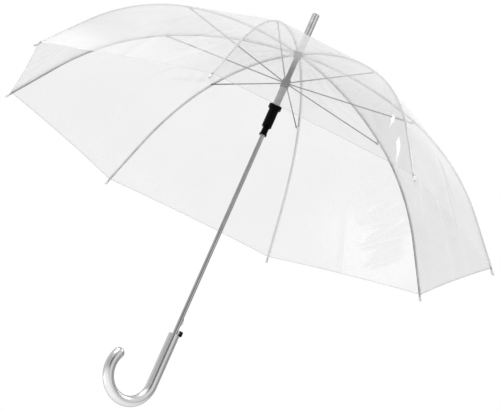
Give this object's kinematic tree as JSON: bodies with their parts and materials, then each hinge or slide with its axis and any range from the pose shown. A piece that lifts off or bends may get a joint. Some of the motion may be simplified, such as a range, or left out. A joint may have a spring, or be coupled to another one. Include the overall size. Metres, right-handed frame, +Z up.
{
  "type": "bubble umbrella",
  "caption": "Open clear dome umbrella: film canopy on hinged ribs with stretchers, sliding sprung runner, steel shaft, metal ferrule, push-button release and silver-grey hook handle.",
  "frame": {"origin": "middle of the straight part of the grip, on the shaft's axis", "axes": "+Z up the shaft to the ferrule, +X the way the hook opens, and rib 1 also lies over +X"},
  "size_m": [0.982, 0.982, 0.8305],
  "materials": {
    "film": "clear glossy plastic film",
    "rib_steel": "grey zinc-plated steel, satin",
    "shaft_chrome": "bright nickel plate",
    "black_plastic": "glossy moulded plastic",
    "dark_spring": "oiled spring steel",
    "dark_plastic": "satin moulded plastic",
    "pale_plastic": "pale grey moulded plastic",
    "silver_plastic": "silver-grey glossy moulded plastic",
    "ferrule_metal": "turned aluminium, satin",
    "bright_wire": "bright drawn wire"
  },
  "bodies": {
    "root": {"shaft": "shaft_chrome", "ferrule": "ferrule_metal", "crown_cover": "pale_plastic", "crown": "dark_plastic", "crown_ring": "bright_wire", "handle": "silver_plastic", "handle_collar": "dark_plastic", "leaf_pin": "bright_wire", "opening_spring": "dark_spring"},
    "runner": {"runner_tube": "pale_plastic", "runner_sleeve": "black_plastic", "runner_bush": "pale_plastic", "runner_hub": "dark_plastic", "runner_ring": "bright_wire"},
    "release": {"release_leaf": "bright_wire", "button_stem": "pale_plastic", "push_button": "black_plastic"},
    "rib_1": {"rib_1": "rib_steel", "rib_tip_1": "pale_plastic"},
    "stretcher_1": {"stretcher_1": "rib_steel"},
    "fold_1a": {"canopy_half_1a": "film"},
    "fold_1b": {"canopy_half_1b": "film"},
    "rib_2": {"rib_2": "rib_steel", "rib_tip_2": "pale_plastic"},
    "stretcher_2": {"stretcher_2": "rib_steel"},
    "fold_2a": {"canopy_half_2a": "film"},
    "fold_2b": {"canopy_half_2b": "film"},
    "rib_3": {"rib_3": "rib_steel", "rib_tip_3": "pale_plastic"},
    "stretcher_3": {"stretcher_3": "rib_steel"},
    "fold_3a": {"canopy_half_3a": "film"},
    "fold_3b": {"canopy_half_3b": "film"},
    "rib_4": {"rib_4": "rib_steel", "rib_tip_4": "pale_plastic"},
    "stretcher_4": {"stretcher_4": "rib_steel"},
    "fold_4a": {"canopy_half_4a": "film"},
    "fold_4b": {"canopy_half_4b": "film"},
    "rib_5": {"rib_5": "rib_steel", "rib_tip_5": "pale_plastic"},
    "stretcher_5": {"stretcher_5": "rib_steel"},
    "fold_5a": {"canopy_half_5a": "film"},
    "fold_5b": {"canopy_half_5b": "film"},
    "rib_6": {"rib_6": "rib_steel", "rib_tip_6": "pale_plastic"},
    "stretcher_6": {"stretcher_6": "rib_steel"},
    "fold_6a": {"canopy_half_6a": "film"},
    "fold_6b": {"canopy_half_6b": "film"},
    "rib_7": {"rib_7": "rib_steel", "rib_tip_7": "pale_plastic"},
    "stretcher_7": {"stretcher_7": "rib_steel"},
    "fold_7a": {"canopy_half_7a": "film"},
    "fold_7b": {"canopy_half_7b": "film"},
    "rib_8": {"rib_8": "rib_steel", "rib_tip_8": "pale_plastic"},
    "stretcher_8": {"stretcher_8": "rib_steel"},
    "fold_8a": {"canopy_half_8a": "film"},
    "fold_8b": {"canopy_half_8b": "film"}
  },
  "joints": [
    {"name": "runner_slide", "type": "slide", "parent": "root", "child": "runner", "axis": [0, 0, 1], "range_m": [-0.39773, 0], "stiffness_N_per_m": 60, "springref_m": 0.2, "deforming": ["opening_spring"]},
    {"name": "rib_1_hinge", "type": "hinge", "parent": "root", "child": "rib_1", "pos_m": [0.0064, 0, 0.635], "axis": [0, 1, 0], "range_deg": [0, 57.51]},
    {"name": "stretcher_1_hinge", "type": "hinge", "parent": "runner", "child": "stretcher_1", "pos_m": [0.0064, 0, 0.573], "axis": [0, -1, 0], "range_deg": [0, 67.12]},
    {"name": "fold_1a_hinge", "type": "hinge", "parent": "rib_1", "child": "fold_1a", "pos_m": [0.00196, -0.00168, 0.63256], "axis": [-0.8341, -0.308, -0.4576], "range_deg": [0, 21.24], "deforming": ["canopy_half_1a"]},
    {"name": "fold_1b_hinge", "type": "hinge", "parent": "rib_1", "child": "fold_1b", "pos_m": [0.00196, 0.00168, 0.63256], "axis": [0.8341, -0.308, 0.4576], "range_deg": [0, 21.24], "deforming": ["canopy_half_1b"]},
    {"name": "rib_2_hinge", "type": "hinge", "parent": "root", "child": "rib_2", "pos_m": [0.00453, 0.00453, 0.635], "axis": [-0.7071, 0.7071, 0], "range_deg": [0, 57.51]},
    {"name": "stretcher_2_hinge", "type": "hinge", "parent": "runner", "child": "stretcher_2", "pos_m": [0.00453, 0.00453, 0.573], "axis": [0.7071, -0.7071, 0], "range_deg": [0, 67.12]},
    {"name": "fold_2a_hinge", "type": "hinge", "parent": "rib_2", "child": "fold_2a", "pos_m": [0.00257, 0.0002, 0.63256], "axis": [-0.372, -0.8076, -0.4576], "range_deg": [0, 21.24], "deforming": ["canopy_half_2a"]},
    {"name": "fold_2b_hinge", "type": "hinge", "parent": "rib_2", "child": "fold_2b", "pos_m": [0.0002, 0.00257, 0.63256], "axis": [0.8076, 0.372, 0.4576], "range_deg": [0, 21.24], "deforming": ["canopy_half_2b"]},
    {"name": "rib_3_hinge", "type": "hinge", "parent": "root", "child": "rib_3", "pos_m": [0, 0.0064, 0.635], "axis": [-1, 0, 0], "range_deg": [0, 57.51]},
    {"name": "stretcher_3_hinge", "type": "hinge", "parent": "runner", "child": "stretcher_3", "pos_m": [0, 0.0064, 0.573], "axis": [1, 0, 0], "range_deg": [0, 67.12]},
    {"name": "fold_3a_hinge", "type": "hinge", "parent": "rib_3", "child": "fold_3a", "pos_m": [0.00168, 0.00196, 0.63256], "axis": [0.308, -0.8341, -0.4576], "range_deg": [0, 21.24], "deforming": ["canopy_half_3a"]},
    {"name": "fold_3b_hinge", "type": "hinge", "parent": "rib_3", "child": "fold_3b", "pos_m": [-0.00168, 0.00196, 0.63256], "axis": [0.308, 0.8341, 0.4576], "range_deg": [0, 21.24], "deforming": ["canopy_half_3b"]},
    {"name": "rib_4_hinge", "type": "hinge", "parent": "root", "child": "rib_4", "pos_m": [-0.00453, 0.00453, 0.635], "axis": [-0.7071, -0.7071, 0], "range_deg": [0, 57.51]},
    {"name": "stretcher_4_hinge", "type": "hinge", "parent": "runner", "child": "stretcher_4", "pos_m": [-0.00453, 0.00453, 0.573], "axis": [0.7071, 0.7071, 0], "range_deg": [0, 67.12]},
    {"name": "fold_4a_hinge", "type": "hinge", "parent": "rib_4", "child": "fold_4a", "pos_m": [-0.0002, 0.00257, 0.63256], "axis": [0.8076, -0.372, -0.4576], "range_deg": [0, 21.24], "deforming": ["canopy_half_4a"]},
    {"name": "fold_4b_hinge", "type": "hinge", "parent": "rib_4", "child": "fold_4b", "pos_m": [-0.00257, 0.0002, 0.63256], "axis": [-0.372, 0.8076, 0.4576], "range_deg": [0, 21.24], "deforming": ["canopy_half_4b"]},
    {"name": "rib_5_hinge", "type": "hinge", "parent": "root", "child": "rib_5", "pos_m": [-0.0064, 0, 0.635], "axis": [0, -1, 0], "range_deg": [0, 57.51]},
    {"name": "stretcher_5_hinge", "type": "hinge", "parent": "runner", "child": "stretcher_5", "pos_m": [-0.0064, 0, 0.573], "axis": [0, 1, 0], "range_deg": [0, 67.12]},
    {"name": "fold_5a_hinge", "type": "hinge", "parent": "rib_5", "child": "fold_5a", "pos_m": [-0.00196, 0.00168, 0.63256], "axis": [0.8341, 0.308, -0.4576], "range_deg": [0, 21.24], "deforming": ["canopy_half_5a"]},
    {"name": "fold_5b_hinge", "type": "hinge", "parent": "rib_5", "child": "fold_5b", "pos_m": [-0.00196, -0.00168, 0.63256], "axis": [-0.8341, 0.308, 0.4576], "range_deg": [0, 21.24], "deforming": ["canopy_half_5b"]},
    {"name": "rib_6_hinge", "type": "hinge", "parent": "root", "child": "rib_6", "pos_m": [-0.00453, -0.00453, 0.635], "axis": [0.7071, -0.7071, 0], "range_deg": [0, 57.51]},
    {"name": "stretcher_6_hinge", "type": "hinge", "parent": "runner", "child": "stretcher_6", "pos_m": [-0.00453, -0.00453, 0.573], "axis": [-0.7071, 0.7071, 0], "range_deg": [0, 67.12]},
    {"name": "fold_6a_hinge", "type": "hinge", "parent": "rib_6", "child": "fold_6a", "pos_m": [-0.00257, -0.0002, 0.63256], "axis": [0.372, 0.8076, -0.4576], "range_deg": [0, 21.24], "deforming": ["canopy_half_6a"]},
    {"name": "fold_6b_hinge", "type": "hinge", "parent": "rib_6", "child": "fold_6b", "pos_m": [-0.0002, -0.00257, 0.63256], "axis": [-0.8076, -0.372, 0.4576], "range_deg": [0, 21.24], "deforming": ["canopy_half_6b"]},
    {"name": "rib_7_hinge", "type": "hinge", "parent": "root", "child": "rib_7", "pos_m": [0, -0.0064, 0.635], "axis": [1, 0, 0], "range_deg": [0, 57.51]},
    {"name": "stretcher_7_hinge", "type": "hinge", "parent": "runner", "child": "stretcher_7", "pos_m": [0, -0.0064, 0.573], "axis": [-1, 0, 0], "range_deg": [0, 67.12]},
    {"name": "fold_7a_hinge", "type": "hinge", "parent": "rib_7", "child": "fold_7a", "pos_m": [-0.00168, -0.00196, 0.63256], "axis": [-0.308, 0.8341, -0.4576], "range_deg": [0, 21.24], "deforming": ["canopy_half_7a"]},
    {"name": "fold_7b_hinge", "type": "hinge", "parent": "rib_7", "child": "fold_7b", "pos_m": [0.00168, -0.00196, 0.63256], "axis": [-0.308, -0.8341, 0.4576], "range_deg": [0, 21.24], "deforming": ["canopy_half_7b"]},
    {"name": "rib_8_hinge", "type": "hinge", "parent": "root", "child": "rib_8", "pos_m": [0.00453, -0.00453, 0.635], "axis": [0.7071, 0.7071, 0], "range_deg": [0, 57.51]},
    {"name": "stretcher_8_hinge", "type": "hinge", "parent": "runner", "child": "stretcher_8", "pos_m": [0.00453, -0.00453, 0.573], "axis": [-0.7071, -0.7071, 0], "range_deg": [0, 67.12]},
    {"name": "fold_8a_hinge", "type": "hinge", "parent": "rib_8", "child": "fold_8a", "pos_m": [0.0002, -0.00257, 0.63256], "axis": [-0.8076, 0.372, -0.4576], "range_deg": [0, 21.24], "deforming": ["canopy_half_8a"]},
    {"name": "fold_8b_hinge", "type": "hinge", "parent": "rib_8", "child": "fold_8b", "pos_m": [0.00257, -0.0002, 0.63256], "axis": [0.372, -0.8076, 0.4576], "range_deg": [0, 21.24], "deforming": ["canopy_half_8b"]},
    {"name": "release_press", "type": "hinge", "parent": "root", "child": "release", "pos_m": [-0.0017, 0, 0.02], "axis": [0, 1, 0], "range_deg": [0, 3.2], "stiffness_Nm_per_rad": 5, "springref_deg": -2.86}
  ],
  "couplings": [
    {"joint": "rib_1_hinge", "follows": "runner_slide", "rad_per_m": -2.5232},
    {"joint": "stretcher_1_hinge", "follows": "runner_slide", "rad_per_m": -2.9452},
    {"joint": "fold_1a_hinge", "follows": "runner_slide", "rad_per_m": -0.93146},
    {"joint": "fold_1b_hinge", "follows": "runner_slide", "rad_per_m": -0.93146},
    {"joint": "rib_2_hinge", "follows": "runner_slide", "rad_per_m": -2.5232},
    {"joint": "stretcher_2_hinge", "follows": "runner_slide", "rad_per_m": -2.9452},
    {"joint": "fold_2a_hinge", "follows": "runner_slide", "rad_per_m": -0.93146},
    {"joint": "fold_2b_hinge", "follows": "runner_slide", "rad_per_m": -0.93146},
    {"joint": "rib_3_hinge", "follows": "runner_slide", "rad_per_m": -2.5232},
    {"joint": "stretcher_3_hinge", "follows": "runner_slide", "rad_per_m": -2.9452},
    {"joint": "fold_3a_hinge", "follows": "runner_slide", "rad_per_m": -0.93146},
    {"joint": "fold_3b_hinge", "follows": "runner_slide", "rad_per_m": -0.93146},
    {"joint": "rib_4_hinge", "follows": "runner_slide", "rad_per_m": -2.5232},
    {"joint": "stretcher_4_hinge", "follows": "runner_slide", "rad_per_m": -2.9452},
    {"joint": "fold_4a_hinge", "follows": "runner_slide", "rad_per_m": -0.93146},
    {"joint": "fold_4b_hinge", "follows": "runner_slide", "rad_per_m": -0.93146},
    {"joint": "rib_5_hinge", "follows": "runner_slide", "rad_per_m": -2.5232},
    {"joint": "stretcher_5_hinge", "follows": "runner_slide", "rad_per_m": -2.9452},
    {"joint": "fold_5a_hinge", "follows": "runner_slide", "rad_per_m": -0.93146},
    {"joint": "fold_5b_hinge", "follows": "runner_slide", "rad_per_m": -0.93146},
    {"joint": "rib_6_hinge", "follows": "runner_slide", "rad_per_m": -2.5232},
    {"joint": "stretcher_6_hinge", "follows": "runner_slide", "rad_per_m": -2.9452},
    {"joint": "fold_6a_hinge", "follows": "runner_slide", "rad_per_m": -0.93146},
    {"joint": "fold_6b_hinge", "follows": "runner_slide", "rad_per_m": -0.93146},
    {"joint": "rib_7_hinge", "follows": "runner_slide", "rad_per_m": -2.5232},
    {"joint": "stretcher_7_hinge", "follows": "runner_slide", "rad_per_m": -2.9452},
    {"joint": "fold_7a_hinge", "follows": "runner_slide", "rad_per_m": -0.93146},
    {"joint": "fold_7b_hinge", "follows": "runner_slide", "rad_per_m": -0.93146},
    {"joint": "rib_8_hinge", "follows": "runner_slide", "rad_per_m": -2.5232},
    {"joint": "stretcher_8_hinge", "follows": "runner_slide", "rad_per_m": -2.9452},
    {"joint": "fold_8a_hinge", "follows": "runner_slide", "rad_per_m": -0.93146},
    {"joint": "fold_8b_hinge", "follows": "runner_slide", "rad_per_m": -0.93146}
  ]
}
